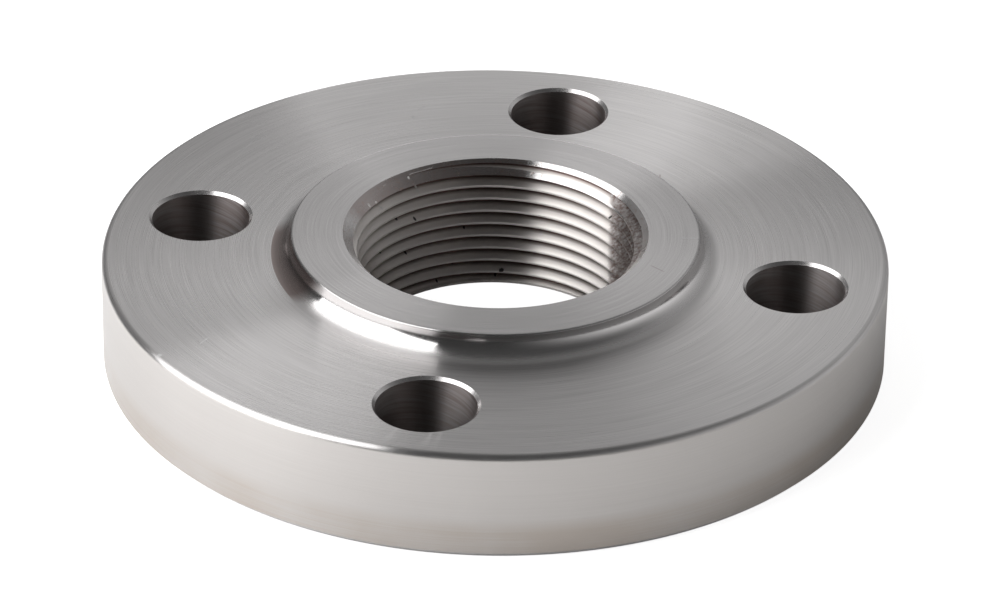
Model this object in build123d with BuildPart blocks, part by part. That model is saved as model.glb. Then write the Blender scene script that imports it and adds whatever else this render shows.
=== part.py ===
from build123d import *
import os

os.makedirs("parts", exist_ok=True)

# A threaded pipe flange with a low hub, turned in one piece from stainless steel.
# Sizes are in millimetres. The origin is the centre of the flat gasket face, and
# +Z runs along the bore to the end of the hub, where the pipe is screwed in.

# Bolt holes, evenly spaced on their circle from the X axis
bolt_count = 4
bolt_circle_diameter = 98.4
bolt_hole_diameter = 15.9
bolt_hole_chamfer = 0.5

# Rim, the disc that is bolted against the next flange. Its land is the metal
# left between each bolt hole and the rim's side
rim_land = 6.35
rim_thickness = 18.4
rim_top_radius = 1.0
rim_bottom_chamfer = 1.0

# Hub, the low collar that gives the thread its full length. Its height is
# measured up from the rim's top face
hub_diameter = 66.0
hub_height = 3.6
hub_edge_break = 0.3
hub_root_radius = 3.2

# Bore, drilled to the tapping size of a 1 1/2 inch taper pipe thread. Its mouth
# opens at 45 degrees to just past the thread's largest diameter, and its lower
# edge is left sharp in the gasket face
bore_diameter = 43.5
bore_mouth_chamfer = 2.9

# The root radius may take nearly all of the hub's short wall, and no more
root_share_of_wall = 0.97
hub_wall_height = hub_height - hub_edge_break
root_radius = min(hub_root_radius, root_share_of_wall * hub_wall_height)

bore_radius = bore_diameter / 2
hub_radius = hub_diameter / 2
rim_radius = (bolt_circle_diameter + bolt_hole_diameter) / 2 + rim_land
length_through_hub = rim_thickness + hub_height


with BuildPart() as flange_body:
    # Half of the turned section, to the right of the bore's axis
    with BuildSketch(Plane.XZ) as section:
        with BuildLine():
            Polyline(
                (bore_radius, 0),
                (rim_radius, 0),
                (rim_radius, rim_thickness),
                (hub_radius, rim_thickness),
                (hub_radius, length_through_hub),
                (bore_radius, length_through_hub),
                close=True,
            )
        make_face()

        def corner(radius, height):
            """The section's corner nearest to a radius and a height"""
            return section.vertices().sort_by_distance((radius, height))[0]

        fillet(corner(hub_radius, rim_thickness), radius=root_radius)
        fillet(corner(rim_radius, rim_thickness), radius=rim_top_radius)
        chamfer(corner(rim_radius, 0), length=rim_bottom_chamfer)
        chamfer(corner(hub_radius, length_through_hub), length=hub_edge_break)
        chamfer(corner(bore_radius, length_through_hub), length=bore_mouth_chamfer)
    revolve(axis=Axis.Z)

    # Each bolt hole is drilled through and broken at both faces
    for face in (Plane.XY.offset(rim_thickness), -Plane.XY):
        with Locations(face):
            with PolarLocations(bolt_circle_diameter / 2, bolt_count):
                CounterSinkHole(
                    radius=bolt_hole_diameter / 2,
                    counter_sink_radius=bolt_hole_diameter / 2 + bolt_hole_chamfer,
                    depth=rim_thickness,
                    counter_sink_angle=90,
                )

flange_body.part.label = "flange_body"
export_step(flange_body.part, "parts/flange_body.step")
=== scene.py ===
"""A threaded pipe flange of stainless steel, turned, drilled and tapped for the render.

Lengths are in metres. +Z is the bore's axis, from the gasket face to the hub's end.
"""

import math

import bmesh
import bpy
from mathutils import Matrix, Vector


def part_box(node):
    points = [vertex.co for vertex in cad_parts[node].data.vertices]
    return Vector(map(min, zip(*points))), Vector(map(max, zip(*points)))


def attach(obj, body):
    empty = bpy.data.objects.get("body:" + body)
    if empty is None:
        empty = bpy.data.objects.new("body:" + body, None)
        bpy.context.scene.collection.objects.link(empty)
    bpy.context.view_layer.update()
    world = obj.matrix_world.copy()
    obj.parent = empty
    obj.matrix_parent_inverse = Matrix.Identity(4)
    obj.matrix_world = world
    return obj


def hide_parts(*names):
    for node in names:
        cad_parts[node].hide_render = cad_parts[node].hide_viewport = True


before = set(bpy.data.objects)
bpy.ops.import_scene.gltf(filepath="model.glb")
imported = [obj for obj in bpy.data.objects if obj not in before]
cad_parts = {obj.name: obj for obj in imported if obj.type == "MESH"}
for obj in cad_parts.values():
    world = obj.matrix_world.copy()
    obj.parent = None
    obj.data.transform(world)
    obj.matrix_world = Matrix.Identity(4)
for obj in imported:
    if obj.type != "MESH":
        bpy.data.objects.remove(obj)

bl_info = {
    "name": "Threaded Flange",
    "version": (1, 0, 0),
    "blender": (4, 5, 0),
    "location": "View3D > Sidebar > Flange",
    "description": "Turns, drills and taps a stainless pipe flange, and lights it for a picture",
    "category": "Add Mesh",
}

MM = 0.001
LOW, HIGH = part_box("flange_body")

# The camera stands this far round to the right of the -Y axis
VIEW_TURN = math.radians(12)

# Two points of the section closer than this are the same
SAME = 0.01 * MM

# How far the rings of points that guard a flat's shading lie from its edges
GUARD = 0.12 * MM

# A cut flange has many more faces than this, and one that a cut has spoilt has fewer
FEWEST_FACES = 5000

# Turns a highlight across the lathe lines, which run round the axis
ROUND_THE_AXIS = 0.25

WORN_BRIGHT = (0.95, 0.95, 0.95, 1.0)
# Burrs are real marks, drawn pale and mostly not metal as a painted glint for the light that real
# burrs catch
BURR_GLINT = (0.8, 0.78, 0.76, 1.0)


# Sizes and finishes that a user would change


def length(name, description, millimetres):
    """A size that the panel shows as a length"""
    return bpy.props.FloatProperty(
        name=name,
        description=description,
        default=millimetres * MM,
        min=0,
        precision=5,
        subtype="DISTANCE",
        unit="LENGTH",
    )


def share(name, description, default, low=0.0, high=1.0):
    """A number between two limits"""
    return bpy.props.FloatProperty(
        name=name, description=description, default=default, min=low, max=high, subtype="FACTOR"
    )


def colour(name, description, default):
    """A linear colour without alpha"""
    return bpy.props.FloatVectorProperty(
        name=name, description=description, default=default, size=3, min=0, max=1, subtype="COLOR"
    )


class FlangeSizes(bpy.types.PropertyGroup):
    """The turned, drilled and tapped form"""

    rim_diameter: length("Rim diameter", "Across the rim", (HIGH.x - LOW.x) / MM)
    overall_height: length("Overall height", "Gasket face to hub end", (HIGH.z - LOW.z) / MM)
    rim_thickness: length("Rim thickness", "Gasket face to the rim's top face", 18.4)
    rim_top_radius: length("Top edge radius", "Round of the rim's upper edge", 1.0)
    rim_bottom_chamfer: length("Bottom chamfer", "Leg of the rim's lower chamfer", 1.0)
    hub_diameter: length("Hub diameter", "Across the hub", 66.0)
    hub_edge_break: length("Hub edge break", "Radius of the round on the hub's top edge", 0.3)
    hub_root_radius: length("Hub root radius", "Hollow where the hub meets the rim", 3.2)
    bolt_circle: length("Bolt circle", "Diameter through the bolt holes' centres", 98.4)
    bolt_hole: length("Bolt hole", "Diameter of a bolt hole", 15.9)
    bolt_hole_break: length("Hole edge break", "Leg of the chamfer at a bolt hole's ends", 0.5)
    mouth_diameter: length("Mouth diameter", "Across the bore's opened mouth", 49.3)
    crest_diameter: length("Crest diameter", "Across the thread's crests at the hub's end", 45.0)
    root_diameter: length("Root diameter", "Across the thread's roots at the hub's end", 48.2)
    pitch: length("Pitch", "From one turn of the thread to the next", 2.28)
    root_width: length("Root width", "Flat at the bottom of the thread", 0.23)
    lip: length("Lip", "Height of the uncut edge at the thread's lower end", 0.35)
    first_turn: length("First turn", "Height of the highest full turn, on the +X side", 20.68)


class FlangeFinish(bpy.types.PropertyGroup):
    """The steel and its finish"""

    steel: colour("Steel", "Colour of the clean steel", (0.66, 0.643, 0.64))
    # Also the colour of painted shade: in the thread's roots, on one side of the hub's hollow and
    # of the mouth, and on the bore's right
    stain_and_shade: colour("Stain", "Colour of drilled and heated steel", (0.22, 0.15, 0.135))
    face_roughness: share("Face roughness", "Roughness of the turned faces", 0.28)
    side_roughness: share("Side roughness", "Roughness of the turned side", 0.3)
    thread_roughness: share("Thread roughness", "Roughness of the thread's flanks", 0.42)


class FlangeStudio(bpy.types.PropertyGroup):
    """Camera, lamps and background"""

    lens: bpy.props.FloatProperty(
        name="Lens", description="Focal length on a 36 mm sensor", default=202.77, min=10,
        unit="CAMERA",
    )
    stand: bpy.props.FloatVectorProperty(
        name="Stand", description="Where the camera stands", size=3, unit="LENGTH",
        subtype="TRANSLATION", default=(0.16541, -0.77392, 0.46670),
    )
    aim: bpy.props.FloatVectorProperty(
        name="Aim", description="The point the camera looks at", size=3, unit="LENGTH",
        subtype="TRANSLATION", default=(0.00014, 0.00359, 0.00600),
    )
    tilt: bpy.props.FloatProperty(
        name="Tilt", description="Turn of the camera about its line of sight",
        default=math.radians(0.858), unit="ROTATION", subtype="ANGLE",
    )
    softbox_power: bpy.props.FloatProperty(
        name="Softbox", description="Brightness of the large lamp on the left", default=2.8, min=0
    )


# Modelling by hand: picking parts of a mesh by their place


def new_piece(name):
    """Names the primitive that was just added and puts its origin at the scene's"""
    piece = bpy.context.active_object
    piece.name = piece.data.name = name
    bpy.ops.object.transform_apply(location=True, rotation=True, scale=True)
    return piece


def pick(piece, kind, wanted):
    """Selects the vertices, edges or faces of a piece in edit mode that pass a test"""
    bpy.ops.mesh.select_mode(type=kind)
    bpy.ops.mesh.select_all(action="DESELECT")
    mesh = bmesh.from_edit_mesh(piece.data)
    parts = {"VERT": mesh.verts, "EDGE": mesh.edges, "FACE": mesh.faces}[kind]
    for part in parts:
        if wanted(part):
            part.select_set(True)
    mesh.select_flush_mode()
    bmesh.update_edit_mesh(piece.data)


def middle(part):
    """The middle of an edge"""
    return (part.verts[0].co + part.verts[1].co) / 2


def near(place, x, z):
    """True at a point of the section"""
    return abs(place.x - x) < SAME and abs(place.z - z) < SAME


def move(x=0.0, y=0.0, z=0.0):
    bpy.ops.transform.translate(value=(x, y, z))


def extrude(x=0.0, y=0.0, z=0.0):
    bpy.ops.mesh.extrude_region_move(TRANSFORM_OT_translate={"value": (x, y, z)})


def round_corner(piece, x, z, leg, segments=1):
    """Bevels one corner of the section, flat with one segment and round with more"""
    pick(piece, "VERT", lambda v: near(v.co, x, z))
    bpy.ops.mesh.bevel(
        affect="VERTICES", offset_type="ABSOLUTE", offset=leg, segments=segments, profile=0.5
    )


def add_ring(piece, start, end, inset):
    """Adds a point to a straight stretch of the section, a little way in from its start"""
    centre = ((start[0] + end[0]) / 2, (start[1] + end[1]) / 2)
    share = inset / math.dist(start, end) - 0.5
    pick(piece, "EDGE", lambda e: near(middle(e), *centre))
    bpy.ops.mesh.subdivide(number_cuts=1)
    pick(piece, "VERT", lambda v: near(v.co, *centre))
    move(x=share * (end[0] - start[0]), z=share * (end[1] - start[1]))


def apply_modifier(piece, kind, **settings):
    bpy.context.view_layer.objects.active = piece
    modifier = piece.modifiers.new(kind.title(), kind)
    for name, value in settings.items():
        setattr(modifier, name, value)
    bpy.ops.object.modifier_apply(modifier=modifier.name)


def cut(piece, tool):
    """Takes a tool's shape out of a piece, and puts the tool away"""
    bpy.ops.object.select_all(action="DESELECT")
    piece.select_set(True)
    apply_modifier(piece, "BOOLEAN", operation="DIFFERENCE", solver="EXACT", object=tool)
    bpy.data.meshes.remove(tool.data)


# The flange

# Faces round the blank and round the tap, which must agree for a clean cut
STEPS = 256

# A taper pipe thread opens by 1 in 16 on diameter
TAPER = 1 / 32


def turned_blank(sizes):
    """The section, drawn flat to the right of the axis and spun round it"""
    overall = sizes.overall_height
    rim, hub = sizes.rim_diameter / 2, sizes.hub_diameter / 2
    top = sizes.rim_thickness
    taper = overall * TAPER
    crest = sizes.crest_diameter / 2
    bore = crest - taper
    bpy.ops.object.select_all(action="DESELECT")
    bpy.ops.mesh.primitive_plane_add(
        size=1, location=((bore + rim) / 2, 0, top / 2), rotation=(math.pi / 2, 0, 0)
    )
    bpy.context.active_object.scale = (rim - bore, top, 1)
    blank = new_piece("flange")
    bpy.ops.object.mode_set(mode="EDIT")

    # The hub is pulled up from the part of the top edge that lies inside it
    bpy.ops.mesh.select_all(action="SELECT")
    bpy.ops.mesh.bisect(plane_co=(hub, 0, 0), plane_no=(1, 0, 0))
    pick(blank, "EDGE", lambda e: near(middle(e), (bore + hub) / 2, top))
    extrude(z=overall - top)
    bpy.ops.mesh.select_mode(type="FACE")
    bpy.ops.mesh.select_all(action="SELECT")
    bpy.ops.mesh.dissolve_faces()
    pick(blank, "VERT", lambda v: near(v.co, hub, 0) or near(v.co, bore, top))
    bpy.ops.mesh.dissolve_verts()

    # The bore opens by 1 in 16 towards the hub's end, as its thread does
    pick(blank, "VERT", lambda v: near(v.co, bore, overall))
    move(x=taper)
    round_corner(blank, crest, overall, sizes.mouth_diameter / 2 - crest)
    round_corner(blank, hub, overall, sizes.hub_edge_break, 8)
    round_corner(blank, rim, top, sizes.rim_top_radius, 8)
    round_corner(blank, rim, 0, sizes.rim_bottom_chamfer)
    root = min(sizes.hub_root_radius, 0.97 * (overall - top - sizes.hub_edge_break))
    round_corner(blank, hub, top, root, 12)

    # Rings close to the hollow and the rounded edge keep their shading off the flats
    flat_start, flat_end = hub + root, rim - sizes.rim_top_radius
    add_ring(blank, (flat_start, top), (flat_end, top), GUARD)
    add_ring(blank, (flat_end, top), (flat_start + GUARD, top), GUARD)
    mouth, edge = sizes.mouth_diameter / 2, hub - sizes.hub_edge_break
    add_ring(blank, (edge, overall), (mouth, overall), GUARD)
    side_start, side_end = sizes.rim_bottom_chamfer, top - sizes.rim_top_radius
    add_ring(blank, (rim, side_end), (rim, side_start), GUARD)

    bpy.ops.mesh.select_all(action="SELECT")
    bpy.ops.mesh.delete(type="ONLY_FACE")
    bpy.ops.mesh.select_all(action="SELECT")
    bpy.ops.mesh.spin(steps=STEPS, angle=2 * math.pi, center=(0, 0, 0), axis=(0, 0, 1))
    bpy.ops.mesh.select_all(action="SELECT")
    bpy.ops.mesh.remove_doubles(threshold=0.002 * MM)
    bpy.ops.mesh.normals_make_consistent(inside=False)
    bpy.ops.object.mode_set(mode="OBJECT")
    return blank


def bolt_hole_drills(sizes):
    """One drill with a countersink at each end, copied round the bolt circle"""
    radius, leg, top = sizes.bolt_hole / 2, sizes.bolt_hole_break, sizes.rim_thickness
    centre = sizes.bolt_circle / 2
    bpy.ops.object.select_all(action="DESELECT")
    bpy.ops.mesh.primitive_cylinder_add(
        vertices=128, radius=radius, depth=top - 2 * leg, location=(centre, 0, top / 2)
    )
    drill = new_piece("bolt_hole_drills")
    bpy.ops.object.mode_set(mode="EDIT")
    for end, way in ((top - leg, 1), (leg, -1)):
        pick(drill, "FACE", lambda f: abs(f.calc_center_median().z - end) < SAME)
        extrude(z=way * leg)
        bpy.ops.transform.resize(
            value=(1 + leg / radius, 1 + leg / radius, 1), center_override=(centre, 0, end)
        )
        extrude(z=way * MM)
    bpy.ops.mesh.select_all(action="SELECT")
    bpy.ops.mesh.spin(
        steps=3, angle=1.5 * math.pi, dupli=True, center=(0, 0, 0), axis=(0, 0, 1)
    )
    bpy.ops.mesh.select_all(action="SELECT")
    bpy.ops.mesh.normals_make_consistent(inside=False)
    bpy.ops.object.mode_set(mode="OBJECT")
    return drill


def taper_tap(sizes):
    """A tooth of the thread, wound up the bore right-handed and tapered 1 in 16"""
    turns, below_first = 12, 10
    flank = math.radians(30)
    inside_crest = 0.3 * MM
    narrowing = sizes.overall_height * TAPER
    root = sizes.root_diameter / 2 - narrowing
    crest = sizes.crest_diameter / 2 - narrowing
    depth = root - crest + inside_crest
    gap = sizes.root_width + 2 * depth * math.tan(flank)
    start = sizes.first_turn - below_first * sizes.pitch
    bpy.ops.object.select_all(action="DESELECT")
    bpy.ops.mesh.primitive_plane_add(
        size=1, location=(root - depth / 2, 0, start), rotation=(math.pi / 2, 0, 0)
    )
    bpy.context.active_object.scale = (depth, gap, 1)
    tap = new_piece("taper_tap")
    bpy.ops.object.mode_set(mode="EDIT")
    pick(tap, "VERT", lambda v: abs(v.co.x - root) < SAME)
    bpy.ops.transform.resize(value=(1, 1, sizes.root_width / gap), center_override=(root, 0, start))
    bpy.ops.object.mode_set(mode="OBJECT")
    apply_modifier(
        tap, "SCREW", axis="Z", angle=2 * math.pi, screw_offset=sizes.pitch, iterations=turns,
        steps=STEPS, render_steps=STEPS, use_merge_vertices=False,
    )
    bpy.ops.object.mode_set(mode="EDIT")
    bpy.ops.mesh.select_mode(type="EDGE")
    half = start + turns * sizes.pitch / 2
    for low_end in (True, False):
        pick(tap, "EDGE", lambda e: e.is_boundary and (middle(e).z < half) == low_end)
        bpy.ops.mesh.edge_face_add()
    bpy.ops.mesh.select_all(action="SELECT")
    bpy.ops.mesh.normals_make_consistent(inside=False)
    bpy.ops.object.mode_set(mode="OBJECT")
    heights = [v.co.z for v in tap.data.vertices]
    apply_modifier(
        tap, "SIMPLE_DEFORM", deform_method="TAPER", deform_axis="Z",
        factor=(max(heights) - min(heights)) * TAPER / root,
    )

    # A thin lip is left at the gasket face, where the last turn ends in a burr
    bpy.ops.object.mode_set(mode="EDIT")
    bpy.ops.mesh.select_all(action="SELECT")
    bpy.ops.mesh.bisect(
        plane_co=(0, 0, sizes.lip), plane_no=(0, 0, 1), use_fill=True, clear_inner=True
    )
    bpy.ops.object.mode_set(mode="OBJECT")
    return tap


def bolt_hole_centres(sizes):
    centre = sizes.bolt_circle / 2
    return ((centre, 0), (0, centre), (-centre, 0), (0, -centre))


def region(place, normal, sizes):
    """Which finish a face has, told by its place and where it points"""
    radius = math.hypot(place.x, place.y)
    hole = min(math.hypot(place.x - x, place.y - y) for x, y in bolt_hole_centres(sizes))
    hole_wall = sizes.bolt_hole / 2 + 0.1 * MM
    hole_edge = sizes.bolt_hole / 2 + sizes.bolt_hole_break + 0.05 * MM
    mouth_edge = sizes.mouth_diameter / 2
    mouth_foot = sizes.overall_height - (sizes.mouth_diameter - sizes.crest_diameter) / 2
    hub = sizes.hub_diameter / 2
    if hole < hole_wall and abs(normal.z) < 0.3:
        return "drilled"
    if hole < hole_edge and abs(normal.z) < 0.9:
        return "broken_edge"
    if radius < mouth_edge and place.z > mouth_foot and 0.6 < normal.z < 0.8:
        return "mouth"
    if radius < mouth_edge and normal.z > -0.95:
        return "tapped"
    if normal.z < -0.95 and place.z < 0.1 * MM:
        return "gasket_face"
    if radius > sizes.rim_diameter / 2 - 0.1 * MM:
        return "turned_side"
    on_rim_face = place.z <= sizes.rim_thickness or normal.z >= 0.999
    if hub - SAME < radius < hub + 4 * MM and not on_rim_face:
        return "hub_hollow"
    return "turned_face"


# Materials


class Wire:
    """An output of a shader node. Arithmetic on it adds Math nodes."""

    def __init__(self, tree, socket=None):
        self.tree, self.socket = tree, socket

    def node(self, kind, settings=None, inputs=None, output=0):
        """Any other node: its settings first, then its sockets' values or links"""
        made = self.tree.nodes.new(kind)
        for name, value in (settings or {}).items():
            setattr(made, name, value)
        for name, value in (inputs or {}).items():
            if isinstance(value, Wire):
                self.tree.links.new(value.socket, made.inputs[name])
            else:
                made.inputs[name].default_value = value
        return Wire(self.tree, made.outputs[output]) if made.outputs else None

    def maths(self, operation, *values, clamp=False):
        return self.node(
            "ShaderNodeMath",
            {"operation": operation, "use_clamp": clamp},
            dict(enumerate(values)),
        )

    def __add__(self, other):
        return self.maths("ADD", self, other)

    def __sub__(self, other):
        return self.maths("SUBTRACT", self, other)

    def __rsub__(self, other):
        return self.maths("SUBTRACT", other, self)

    def __mul__(self, other):
        return self.maths("MULTIPLY", self, other)

    def __truediv__(self, other):
        return self.maths("DIVIDE", self, other)

    def __pow__(self, other):
        return self.maths("POWER", self, other)

    __radd__ = __add__
    __rmul__ = __mul__


def blank_material(name):
    """An empty material, and a wire to start its nodes from"""
    material = bpy.data.materials.new(name)
    material.use_nodes = True
    material.node_tree.nodes.clear()
    return material, Wire(material.node_tree)


def steel_shader(name):
    """An empty material, a wire to start from and the place on the piece"""
    material, start = blank_material(name)
    return material, start, start.node("ShaderNodeTexCoord", output="Object")


def finish_material(start, sockets):
    """The metal shader, its sockets and the material's output"""
    shader = start.node("ShaderNodeBsdfPrincipled", None, sockets)
    start.node("ShaderNodeOutputMaterial", None, {"Surface": shader})


def axes(start, place):
    """The three coordinates of a place"""
    return [
        start.node("ShaderNodeSeparateXYZ", None, {"Vector": place}, output=axis) for axis in "XYZ"
    ]


def from_axis(x, y):
    """How far a place lies from the bore's axis"""
    return (x * x + y * y) ** 0.5


def to_right(x, y):
    """How far to the camera's right a place lies"""
    return x * math.cos(VIEW_TURN) + y * math.sin(VIEW_TURN)


def to_back(x, y):
    """How far behind the bore's axis a place lies for the camera"""
    return y * math.cos(VIEW_TURN) - x * math.sin(VIEW_TURN)


def rings(start, place, across):
    """Where to read a noise for long concentric lines, with a number of them to a metre"""
    along = 70.0
    x, y, z = axes(start, place)
    return start.node(
        "ShaderNodeCombineXYZ",
        None,
        {"X": from_axis(x, y) * across, "Y": x * along, "Z": y * along},
    )


def even_rings(start, distance, across):
    """Where to read a noise for lines that run all the way round"""
    return start.node("ShaderNodeCombineXYZ", None, {"X": distance * across})


def bump(start, height, strength, depth):
    """Relief of the surface lines. Millimetres."""
    return start.node(
        "ShaderNodeBump", None, {"Strength": strength, "Distance": depth * MM, "Height": height}
    )


def noise(start, vector, scale, detail=2.0, roughness=0.5):
    """A noise from 0 to 1"""
    return start.node(
        "ShaderNodeTexNoise",
        {"noise_dimensions": "3D"},
        {"Vector": vector, "Scale": scale, "Detail": detail, "Roughness": roughness},
        output="Fac",
    )


def mix_colour(start, factor, first, second):
    return start.node(
        "ShaderNodeMix", {"data_type": "RGBA"}, {0: factor, 6: first, 7: second}, output=2
    )


def rgba(shade, level=1.0):
    return (*[channel * level for channel in shade], 1.0)


def spot(start, place, centre, radius):
    """1 inside a small ball, with a soft edge. Millimetres."""
    centre = tuple(value * MM for value in centre)
    away = start.node(
        "ShaderNodeVectorMath", {"operation": "DISTANCE"}, {0: place, 1: centre}, output="Value"
    )
    return start.maths("MULTIPLY", radius * MM - away, 3.0 / (radius * MM), clamp=True)


def bore_marks(start, place, marks):
    """1 at small marks on the bore's wall, whatever the depth there. Each has a place round
    the bore in degrees, a height and a size in millimetres."""
    x, y, z = axes(start, place)
    wall = 23.0
    out = from_axis(x, y) / (wall * MM)
    pressed = start.node("ShaderNodeCombineXYZ", None, {"X": x / out, "Y": y / out, "Z": z})
    found = 0.0
    for degrees, height, size in marks:
        turn = math.radians(degrees)
        mark = spot(start, pressed, (wall * math.cos(turn), wall * math.sin(turn), height), size)
        found = start.maths("MAXIMUM", found, mark)
    return found


def scratch(start, x, y, centre, degrees, long, wide):
    """1 along a straight scratch on a level face. Millimetres."""
    turn = math.radians(degrees)
    x, y = x - centre[0] * MM, y - centre[1] * MM
    along = start.maths("ABSOLUTE", x * math.cos(turn) + y * math.sin(turn))
    across = start.maths("ABSOLUTE", y * math.cos(turn) - x * math.sin(turn))
    ends = start.maths("MULTIPLY", long / 2 * MM - along, 2.0 / MM, clamp=True)
    return start.maths("MULTIPLY", wide * MM - across, 1.0 / (wide * MM), clamp=True) * ends


def turned_face(finish):
    """Rim and hub faces: fine concentric feed lines, and what handling left on them"""
    material, start, place = steel_shader("turned_face")
    x, y, z = axes(start, place)
    radius = from_axis(x, y)
    fine = noise(start, even_rings(start, radius, 6500.0), 1.0, 3.0)
    streak = noise(start, rings(start, place, 5200.0), 1.0)
    broad = noise(start, rings(start, place, 1300.0), 1.0)
    cloud = noise(start, place, 30.0, 3.0)
    grain = fine * 0.35 + streak * 0.4 + broad * 0.15 + cloud * 0.1
    shade = mix_colour(start, grain, rgba(finish.steel, 0.5), rgba(finish.steel, 1.4))
    hub_radius = 33.0 * MM
    on_hub = start.maths("LESS_THAN", radius, hub_radius)
    shade = mix_colour(start, on_hub * 0.3, shade, rgba(finish.steel, 0.4))

    # Handling: scratches and specks, pale where they are fresh and dark where dirt is caught
    pale = scratch(start, x, y, (-28.0, 44.8), 15.4, 12.9, 0.09) * 0.6
    for centre, degrees, long, wide in (
        ((-22.7, 44.6), 70.0, 2.2, 0.14),
        ((-37.5, 29.1), -32.5, 1.9, 0.14),
        ((-47.9, 24.1), 79.0, 10.8, 0.08),
        ((-38.2, -38.7), 71.6, 2.6, 0.16),
        ((30.9, 5.3), 13.6, 3.2, 0.07),
        ((-12.0, 51.5), 28.0, 6.0, 0.07),
        ((-31.0, 37.0), 50.0, 7.0, 0.06),
    ):
        pale = start.maths("MAXIMUM", pale, scratch(start, x, y, centre, degrees, long, wide))
    for centre, size in (
        ((-43.8, -44.7, 18.4), 0.45),
        ((-23.3, 41.3, 18.4), 0.35),
        ((-11.1, 37.4, 18.4), 0.3),
    ):
        pale = start.maths("MAXIMUM", pale, spot(start, place, centre, size))
    dark = start.maths(
        "MAXIMUM",
        scratch(start, x, y, (21.05, 31.0), -79.0, 1.4, 0.16),
        scratch(start, x, y, (27.7, -5.7), -30.7, 3.2, 0.1),
    )
    shade = mix_colour(start, pale * 0.45, shade, WORN_BRIGHT)
    shade = mix_colour(start, dark * 0.7, shade, rgba(finish.stain_and_shade))
    worn = pale * 0.1 - on_hub * 0.04
    finish_material(start, {
        "Base Color": shade,
        "Metallic": 1.0,
        "Roughness": fine * 0.06 + cloud * 0.05 + worn + (finish.face_roughness - 0.055),
        "Anisotropic": 1.0,
        "Anisotropic Rotation": ROUND_THE_AXIS,
        "Normal": bump(start, fine + streak, 0.5, 0.004),
    })
    return material


def hub_hollow(finish):
    """The hub's short wall and the hollow at its foot, left by a round-nosed tool"""
    material, start, place = steel_shader("hub_hollow")
    x, y, height = axes(start, place)
    fine = noise(start, even_rings(start, height, 5200.0), 1.0, 3.0)
    cloud = noise(start, place, 30.0, 3.0)
    shade = mix_colour(start, cloud, rgba(finish.steel, 0.9), rgba(finish.steel, 1.04))

    # Painted shade: on the camera's left the hollow is darkened towards the stain colour, mottled
    # by a cloud noise
    shade_starts, shade_ends = -18.0 * MM, 9.0 * MM
    ahead = to_back(x, y)
    painted_shade = start.maths("MULTIPLY", ahead - shade_starts, 350.0, clamp=True)
    painted_shade = painted_shade * start.maths("LESS_THAN", to_right(x, y), 0.0)
    painted_shade = painted_shade * start.maths("MULTIPLY", shade_ends - ahead, 250.0, clamp=True)
    shade = mix_colour(start, painted_shade * (cloud * 0.7 + 0.4), shade, rgba(finish.stain_and_shade))

    # The wall above the hollow is smoother than its foot
    smooth_above, blend = 19.9 * MM, 1.3 * MM
    foot = start.maths("MULTIPLY", smooth_above - height, 1.0 / blend, clamp=True)
    finish_material(start, {
        "Base Color": shade,
        "Metallic": 1.0,
        "Roughness": foot * (finish.face_roughness - 0.12) + fine * 0.04 + 0.1,
        "Anisotropic": 1.0,
        "Anisotropic Rotation": ROUND_THE_AXIS,
        "Normal": bump(start, fine, 0.5, 0.003),
    })
    return material


def turned_side(finish):
    """The rim's side: level lathe lines, warmer, and mottled darker and browner towards the lower
    edge
    """
    material, start, place = steel_shader("turned_side")
    x, y, height = axes(start, place)
    level = start.node(
        "ShaderNodeCombineXYZ", None, {"X": height * 5200.0, "Y": x * 40.0, "Z": y * 40.0}
    )
    fine = noise(start, level, 1.0, 3.0)
    cloud = noise(start, place, 45.0, 3.0)
    grain = fine * 0.6 + cloud * 0.4
    shade = mix_colour(start, grain, rgba(finish.steel, 0.84), rgba(finish.steel, 1.16))
    red, green, blue = finish.steel
    shade = mix_colour(start, 0.5, shade, (red, green * 0.965, blue * 0.915, 1.0))
    # A darker, browner mottle towards the lower edge
    darker_below = 7.0 * MM
    low = start.maths("MULTIPLY", darker_below - height, 400.0, clamp=True)
    worn = low * start.maths("MULTIPLY", cloud * 0.6 + fine * 0.4 - 0.35, 4.0, clamp=True)
    shade = mix_colour(start, worn * 0.5, shade, (0.5, 0.42, 0.35, 1.0))
    finish_material(start, {
        "Base Color": shade,
        "Metallic": 1.0,
        "Roughness": fine * 0.06 + (finish.side_roughness - 0.03),
        "Anisotropic": 0.8,
        "Anisotropic Rotation": ROUND_THE_AXIS,
        "Normal": bump(start, fine, 0.5, 0.003),
    })
    return material


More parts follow.
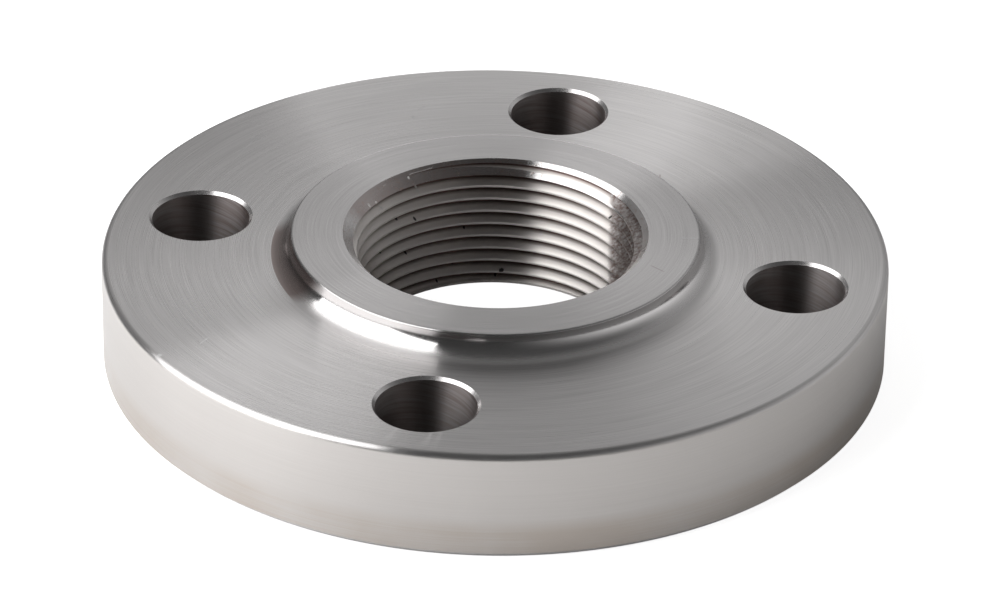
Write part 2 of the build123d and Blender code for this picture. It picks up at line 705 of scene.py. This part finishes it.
def tapped(finish):
    """The thread, with painted shade that darkens it towards its roots, and bright along its crests
    """
    material, start, place = steel_shader("tapped")
    x, y, height = axes(start, place)

    # 0 at the crests and 1 at the roots, all the way up the taper
    crest_at_foot, thread_depth = 21.8125 * MM, 1.6 * MM
    depth = (from_axis(x, y) - height * TAPER - crest_at_foot) / thread_depth
    cloud = noise(start, place, 160.0, 3.0)
    fine = noise(start, place, 2500.0)
    red, green, blue = finish.steel
    warm = (red, green * 0.98, blue * 0.95)
    clean = mix_colour(start, cloud, rgba(warm, 1.2), rgba(warm, 1.4))
    # Painted shade: the colour darkens towards the stain colour near the roots, where the grooves
    # lie in shade
    root_shade = start.maths("MULTIPLY", depth - 0.6, 2.5, clamp=True)
    shade = mix_colour(start, root_shade, clean, rgba(finish.stain_and_shade, 0.8))

    # Painted reflection: on the camera's right the colour turns to a dark speckled mottle of stain
    # and steel, standing in for the dark surroundings that the thread mirrors there; the speckle
    # also gives it a torn look
    dark_side_from = 18.4 * MM
    speckle = noise(start, place, 1500.0, 3.0, 0.7)
    ragged = (speckle - 0.5) * 1.5 * MM
    torn = start.maths("MULTIPLY", to_right(x, y) - dark_side_from + ragged, 1500.0, clamp=True)
    patches = start.maths("MULTIPLY", speckle - 0.4, 4.0, clamp=True)
    torn_and_shaded_mottle = mix_colour(start, patches, rgba(finish.stain_and_shade), rgba(finish.steel, 0.95))
    shade = mix_colour(start, torn * 0.85, shade, torn_and_shaded_mottle)
    pits = bore_marks(start, place, (
        (99.9, 2.15, 0.24), (99.3, 2.2, 0.26), (98.8, 2.2, 0.2), (115.0, 9.8, 0.2),
        (102.0, 0.65, 0.22), (126.9, 0.64, 0.2), (156.1, 10.1, 0.26), (141.6, 7.6, 0.22),
        (146.0, 14.6, 0.28), (138.3, 13.9, 0.26), (119.8, 3.3, 0.24), (46.4, 19.0, 0.28),
        (46.3, 17.8, 0.28),
    ))
    burrs = bore_marks(start, place, (
        (136.0, 19.9, 0.26), (135.9, 19.5, 0.24), (135.8, 19.1, 0.22), (136.0, 18.7, 0.2),
        (136.3, 18.2, 0.2), (165.0, 20.5, 0.34), (160.2, 20.1, 0.34), (157.0, 18.7, 0.26),
        (155.5, 18.2, 0.22), (143.7, 15.9, 0.28), (33.6, 12.6, 0.24),
    ))
    crest = start.maths("MULTIPLY", 0.08 - depth, 30.0, clamp=True) * (1.0 - torn)
    shade = mix_colour(start, pits * 0.9, shade, (0.01, 0.01, 0.01, 1.0))
    # Burrs: real marks, drawn pale as a painted glint
    shade = mix_colour(start, burrs, shade, BURR_GLINT)
    finish_material(start, {
        "Base Color": shade,
        "Metallic": 1.0 - burrs * 0.8 - crest * 0.5,
        "Roughness": cloud * 0.1 + torn * 0.1 + (finish.thread_roughness - 0.05),
        "Anisotropic": 0.98,
        "Anisotropic Rotation": ROUND_THE_AXIS,
        "Normal": bump(start, fine, 0.4, 0.003),
    })
    return material


def mouth(finish):
    """The opened mouth of the bore, torn a little by the cutter"""
    material, start, place = steel_shader("mouth")
    x, y, z = axes(start, place)
    cloud = noise(start, place, 160.0, 3.0)
    fine = noise(start, rings(start, place, 3000.0), 1.0, 3.0)
    grain = cloud * 0.5 + fine * 0.5
    shade = mix_colour(start, grain, rgba(finish.steel, 0.62), rgba(finish.steel, 1.3))

    # Painted shade: at the back on the left the mouth is darkened towards the stain colour, mottled
    # by a cloud noise. Small burrs sit at its lower edge.
    painted_shade = start.maths("MULTIPLY", y + 1.0 * MM, 250.0, clamp=True)
    painted_shade = painted_shade * start.maths("LESS_THAN", x, 0.0)
    shade = mix_colour(start, painted_shade * (cloud * 0.5 + 0.25), shade, rgba(finish.stain_and_shade))
    burrs = bore_marks(start, place, (
        (139.3, 21.2, 0.22), (91.9, 21.1, 0.16), (88.4, 21.2, 0.14), (85.2, 21.3, 0.18),
        (165.0, 20.6, 0.28), (160.5, 20.3, 0.28),
    ))
    edge_radius = 24.15
    for degrees, long in ((133.0, 4.6), (137.2, 1.6), (151.5, 1.0)):
        turn = math.radians(degrees)
        edge = (edge_radius * math.cos(turn), edge_radius * math.sin(turn))
        burr = scratch(start, x, y, edge, degrees + 90.0, long, 0.1) * (cloud + 0.1)
        burrs = start.maths("MAXIMUM", burrs, burr)
    speckle = noise(start, place, 1400.0, 3.0, 0.7)
    torn = start.maths("MULTIPLY", speckle - 0.56, 9.0, clamp=True)
    shade = mix_colour(start, torn * 0.5, shade, (0.45, 0.33, 0.28, 1.0))
    # Burrs: real marks, drawn pale as a painted glint
    shade = mix_colour(start, burrs, shade, BURR_GLINT)
    finish_material(start, {
        "Base Color": shade,
        "Metallic": 1.0 - burrs * 0.8,
        "Roughness": cloud * 0.1 + 0.22,
        "Anisotropic": 0.98,
        "Anisotropic Rotation": ROUND_THE_AXIS,
        "Normal": bump(start, fine + torn, 0.5, 0.006),
    })
    return material


def drilled(finish):
    """Bolt hole walls: sloping drilling rings and a brown tint"""
    material, start, place = steel_shader("drilled")
    x, y, height = axes(start, place)
    slope = start.node(
        "ShaderNodeCombineXYZ",
        None,
        {"X": (height + x * 0.25) * 3200.0, "Y": x * 120.0, "Z": y * 120.0},
    )
    ring = noise(start, slope, 1.0, 3.0)
    cloud = noise(start, place, 90.0, 3.0)
    grain = start.maths("MULTIPLY", cloud * 0.5 + ring * 0.9 - 0.3, 1.25, clamp=True)
    finish_material(start, {
        "Base Color": mix_colour(start, grain, rgba(finish.stain_and_shade, 0.75), rgba(finish.steel, 0.62)),
        "Metallic": 1.0,
        "Roughness": ring * 0.12 + 0.42,
        "Anisotropic": 0.9,
        "Anisotropic Rotation": ROUND_THE_AXIS,
        "Normal": bump(start, ring, 0.8, 0.01),
    })
    return material


def broken_edge(finish):
    """The small chamfers of the bolt holes"""
    material, start, place = steel_shader("broken_edge")
    cloud = noise(start, place, 400.0, 3.0)
    finish_material(start, {
        "Base Color": mix_colour(start, cloud, rgba(finish.steel, 0.92), rgba(finish.steel, 1.05)),
        "Metallic": 1.0,
        "Roughness": cloud * 0.12 + 0.2,
    })
    return material


def gasket_face(finish):
    """The hidden gasket face: the coarse spiral that grips a gasket"""
    material, start, place = steel_shader("gasket_face")
    x, y, z = axes(start, place)
    spacing = 0.8 * MM
    wave = start.maths("SINE", from_axis(x, y) * (2 * math.pi / spacing))
    broad = noise(start, rings(start, place, 300.0), 1.0)
    finish_material(start, {
        "Base Color": mix_colour(start, broad, rgba(finish.steel, 0.94), rgba(finish.steel, 1.04)),
        "Metallic": 1.0,
        "Roughness": broad * 0.08 + 0.28,
        "Anisotropic": 0.4,
        "Anisotropic Rotation": ROUND_THE_AXIS,
        "Normal": bump(start, wave + broad, 0.6, 0.02),
    })
    return material


FINISHES = {
    "turned_face": turned_face,
    "hub_hollow": hub_hollow,
    "turned_side": turned_side,
    "tapped": tapped,
    "mouth": mouth,
    "drilled": drilled,
    "broken_edge": broken_edge,
    "gasket_face": gasket_face,
}


def close_mesh(piece):
    """Merges what the cuts left side by side and closes the small gap that they leave"""
    bpy.ops.object.mode_set(mode="EDIT")
    bpy.ops.mesh.select_all(action="SELECT")
    bpy.ops.mesh.remove_doubles(threshold=0.004 * MM)

    # The gap is where the thread runs out at the lip, with a sliver beside it
    bpy.ops.mesh.select_mode(type="VERT")
    bpy.ops.mesh.select_all(action="DESELECT")
    bpy.ops.mesh.select_non_manifold()
    bpy.ops.mesh.remove_doubles(threshold=0.02 * MM)
    bpy.ops.mesh.select_all(action="SELECT")
    bpy.ops.mesh.fill_holes(sides=8)
    bpy.ops.mesh.select_all(action="SELECT")
    bpy.ops.mesh.normals_make_consistent(inside=False)
    bpy.ops.object.mode_set(mode="OBJECT")


class FLANGE_OT_flange(bpy.types.Operator):
    """Turn, drill and tap the flange from one blank"""

    bl_idname = "flange.flange"
    bl_label = "Flange"

    def execute(self, context):
        sizes, finish = context.scene.flange_sizes, context.scene.flange_finish
        flange = turned_blank(sizes)
        cut(flange, bolt_hole_drills(sizes))
        cut(flange, taper_tap(sizes))
        if len(flange.data.polygons) < FEWEST_FACES:
            raise RuntimeError("the flange's cuts left too few faces")
        bpy.ops.object.select_all(action="DESELECT")
        flange.select_set(True)
        context.view_layer.objects.active = flange
        close_mesh(flange)
        bpy.ops.object.shade_smooth_by_angle(angle=math.radians(14))
        flange.data.materials.clear()
        names = list(FINISHES)
        for make in FINISHES.values():
            flange.data.materials.append(make(finish))
        for face in flange.data.polygons:
            face.material_index = names.index(region(face.center, face.normal, sizes))
        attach(flange, "root")
        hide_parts("flange_body")
        return {"FINISHED"}


# The stage


def place_camera(context, studio):
    camera = bpy.data.objects.new("camera", bpy.data.cameras.new("camera"))
    context.scene.collection.objects.link(camera)
    context.scene.camera = camera
    camera.data.lens = studio.lens
    camera.data.sensor_fit = "HORIZONTAL"
    camera.data.sensor_width = 36
    camera.data.clip_start, camera.data.clip_end = 0.05, 50
    sight = Vector(studio.aim) - Vector(studio.stand)
    turn = sight.to_track_quat("-Z", "Y").to_matrix().to_4x4()
    camera.matrix_world = (
        Matrix.Translation(studio.stand) @ turn @ Matrix.Rotation(studio.tilt, 4, "Z")
    )


def nearest_bolt_hole(start, x, y, sizes):
    """How far a place on the floor lies from the centre of the nearest bolt hole"""
    centre = sizes.bolt_circle / 2
    along_x = from_axis(start.maths("ABSOLUTE", x) - centre, y)
    along_y = from_axis(start.maths("ABSOLUTE", y) - centre, x)
    return start.maths("MINIMUM", along_x, along_y)


def add_floor(sizes):
    """A floor that is white to the eye, glows in the metal with painted light and shadow, and keeps
    the shadow. It is clear from below, and clear under the gasket face, which then mirrors the
    room."""
    bpy.ops.object.select_all(action="DESELECT")
    bpy.ops.mesh.primitive_plane_add(size=12, location=(0, 0, -0.05 * MM))
    floor = new_piece("floor")
    material, start = blank_material("pale_floor")
    seen, mirrored, through = (
        start.node("ShaderNodeLightPath", output=ray)
        for ray in ("Is Camera Ray", "Is Glossy Ray", "Is Transmission Ray")
    )
    x, y, z = axes(start, start.node("ShaderNodeTexCoord", output="Object"))
    right, radius = to_right(x, y), from_axis(x, y)
    rim = sizes.rim_diameter / 2
    beyond = start.maths("GREATER_THAN", radius, rim - 1.5 * MM)

    # Painted light and shadow in the metal: the floor glows brightest on the left, where the
    # softbox is, and dims far out, on the right as a painted cast shadow, and close to the rim as a
    # painted contact shadow that is deepest on the right
    falling = start.maths("MINIMUM", right, 0.0) * 4.5 + start.maths("MAXIMUM", right, 0.0) * 3.6
    painted_light = start.maths("MINIMUM", start.maths("MAXIMUM", 0.47 - falling, 0.05), 0.9)
    clear = start.maths("MULTIPLY", radius - rim, 32.0, clamp=True)
    far_out = 0.3
    close = start.maths("MULTIPLY", far_out - radius, 5.0, clamp=True)
    shade = start.maths("MULTIPLY", right + 0.06, 8.0, clamp=True) * 0.5 + 0.4
    mirrored = mirrored * beyond * painted_light * close * (1.0 - shade + clear * shade)
    seen = start.maths("MINIMUM", seen + mirrored + through, 1.0)

    # A pale sheet round the object takes its shadow. Under the object the floor is near black, a
    # painted shade that the metal mirrors through the bore and the bolt holes; beyond the sheet it
    # is dark as well.
    sheet_radius = 0.35
    sheet = beyond * start.maths("MULTIPLY", sheet_radius - radius, 8.0, clamp=True)
    sheet_and_painted_shade = mix_colour(start, sheet, (0.05, 0.05, 0.05, 1), (0.7, 0.7, 0.7, 1))
    card = start.node("ShaderNodeBsdfDiffuse", None, {"Color": sheet_and_painted_shade})
    glow = start.node("ShaderNodeEmission", None, {"Strength": seen * (1.0 - sheet * 0.15)})
    both = start.node("ShaderNodeAddShader", None, {0: card, 1: glow})

    # Through the bore and the bolt holes the floor is seen, so there it stays
    bore = sizes.crest_diameter / 2 - 0.5 * MM
    hole = nearest_bolt_hole(start, x, y, sizes)
    under = start.maths("GREATER_THAN", radius, bore) * (1.0 - beyond)
    under = under * start.maths("GREATER_THAN", hole, sizes.bolt_hole / 2 + MM)
    below = start.node("ShaderNodeNewGeometry", output="Backfacing")
    see_through = start.maths("MAXIMUM", under, below)
    none = start.node("ShaderNodeBsdfTransparent")
    both = start.node("ShaderNodeMixShader", None, {0: see_through, 1: both, 2: none})
    start.node("ShaderNodeOutputMaterial", None, {"Surface": both})
    floor.data.materials.append(material)


def lamp_card(name, level, fall=0.0):
    """Makes the card just added glow, and keeps it out of the camera's sight. The level is
    that at the floor, and falls by so much to a metre upwards."""
    card = new_piece(name)
    material, start = blank_material(name)
    if fall:
        x, y, z = axes(start, start.node("ShaderNodeTexCoord", output="Object"))
        level = start.maths("MAXIMUM", level - z * fall, 0.0)
    glow = start.node("ShaderNodeEmission", None, {"Strength": level})
    none = start.node("ShaderNodeBsdfTransparent")
    seen = start.node("ShaderNodeLightPath", output="Is Camera Ray")
    both = start.node("ShaderNodeMixShader", None, {0: seen, 1: glow, 2: none})
    start.node("ShaderNodeOutputMaterial", None, {"Surface": both})
    card.data.materials.append(material)


def add_softbox(studio):
    """One large six-sided softbox on the left, leaning over the object"""
    to_lamp = Matrix.Rotation(VIEW_TURN, 3, "Z") @ Vector((-0.75, -0.12, 0.65))
    bpy.ops.object.select_all(action="DESELECT")
    bpy.ops.mesh.primitive_circle_add(
        vertices=6, fill_type="NGON", location=to_lamp.normalized(),
        rotation=to_lamp.to_track_quat("Z", "Y").to_euler(),
    )
    corners = (
        (0.85, 0.08), (-0.05, 0.74), (-0.75, 0.3), (-0.43, -0.3), (-0.43, -0.8), (0.6, -0.8),
    )
    for vertex, corner in zip(bpy.context.active_object.data.vertices, corners):
        vertex.co = (*corner, 0)
    lamp_card("softbox", studio.softbox_power)


def add_backing():
    """A low card behind the object, brightest at its foot"""
    away = 0.3
    bpy.ops.object.select_all(action="DESELECT")
    bpy.ops.mesh.primitive_plane_add(
        size=1, location=(-away * math.sin(VIEW_TURN), away * math.cos(VIEW_TURN), 0.2),
        rotation=(math.pi / 2, 0, VIEW_TURN),
    )
    bpy.context.active_object.scale = (0.12, 0.4, 1)
    lamp_card("backing_card", 2.0, fall=6.2)


def light_room(context):
    """A dim room, brighter behind the object and on its right, and white to the eye"""
    world = bpy.data.worlds.new("room")
    context.scene.world = world
    world.use_nodes = True
    world.node_tree.nodes.clear()
    start = Wire(world.node_tree)
    x, y, z = axes(start, start.node("ShaderNodeTexCoord", output="Generated"))
    ahead, right = to_back(x, y), start.maths("MAXIMUM", to_right(x, y), 0.0)
    up, down = start.maths("MAXIMUM", z, 0.0), start.maths("MAXIMUM", z * -1.0, 0.0)
    behind = start.maths("MAXIMUM", ahead, 0.0) * (up * 0.5 + 0.1)
    side = right ** 2.0 * start.maths("MAXIMUM", 0.95 - up * 1.1, 0.05)
    front = start.maths("MAXIMUM", ahead * -1.0, 0.0) * 0.035
    below = down * (right * 0.5 + 0.35)
    level = behind + side + front + below + up * up * 0.05 + 0.015
    seen = start.node("ShaderNodeLightPath", output="Is Camera Ray")
    level = start.maths("MAXIMUM", level, seen)
    room = start.node("ShaderNodeBackground", None, {"Color": (1, 1, 1, 1), "Strength": level})
    start.node("ShaderNodeOutputWorld", None, {"Surface": room})


class FLANGE_OT_stage(bpy.types.Operator):
    """Place the camera, the pale floor and the soft lamps"""

    bl_idname = "flange.stage"
    bl_label = "Stage"

    def execute(self, context):
        studio = context.scene.flange_studio
        place_camera(context, studio)
        add_floor(context.scene.flange_sizes)
        add_softbox(studio)
        add_backing()
        light_room(context)
        context.scene.view_settings.view_transform = "Standard"
        return {"FINISHED"}


class FLANGE_PT_panel(bpy.types.Panel):
    """The flange's sizes, finish and stage"""

    bl_idname = "FLANGE_PT_panel"
    bl_label = "Threaded Flange"
    bl_space_type = "VIEW_3D"
    bl_region_type = "UI"
    bl_category = "Flange"

    def draw(self, context):
        for group, operator in (
            ("flange_sizes", "flange.flange"),
            ("flange_finish", None),
            ("flange_studio", "flange.stage"),
        ):
            column = self.layout.column(align=True)
            settings = getattr(context.scene, group)
            for name in settings.__annotations__:
                column.prop(settings, name)
            if operator:
                column.operator(operator)


CLASSES = (
    FlangeSizes,
    FlangeFinish,
    FlangeStudio,
    FLANGE_OT_flange,
    FLANGE_OT_stage,
    FLANGE_PT_panel,
)


def register():
    for each in CLASSES:
        bpy.utils.register_class(each)
    bpy.types.Scene.flange_sizes = bpy.props.PointerProperty(type=FlangeSizes)
    bpy.types.Scene.flange_finish = bpy.props.PointerProperty(type=FlangeFinish)
    bpy.types.Scene.flange_studio = bpy.props.PointerProperty(type=FlangeStudio)


def unregister():
    del bpy.types.Scene.flange_studio
    del bpy.types.Scene.flange_finish
    del bpy.types.Scene.flange_sizes
    for each in reversed(CLASSES):
        bpy.utils.unregister_class(each)


def main():
    """Makes the whole scene"""
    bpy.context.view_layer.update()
    register()
    bpy.ops.flange.stage()
    bpy.ops.flange.flange()


if __name__ == "__main__":
    main()
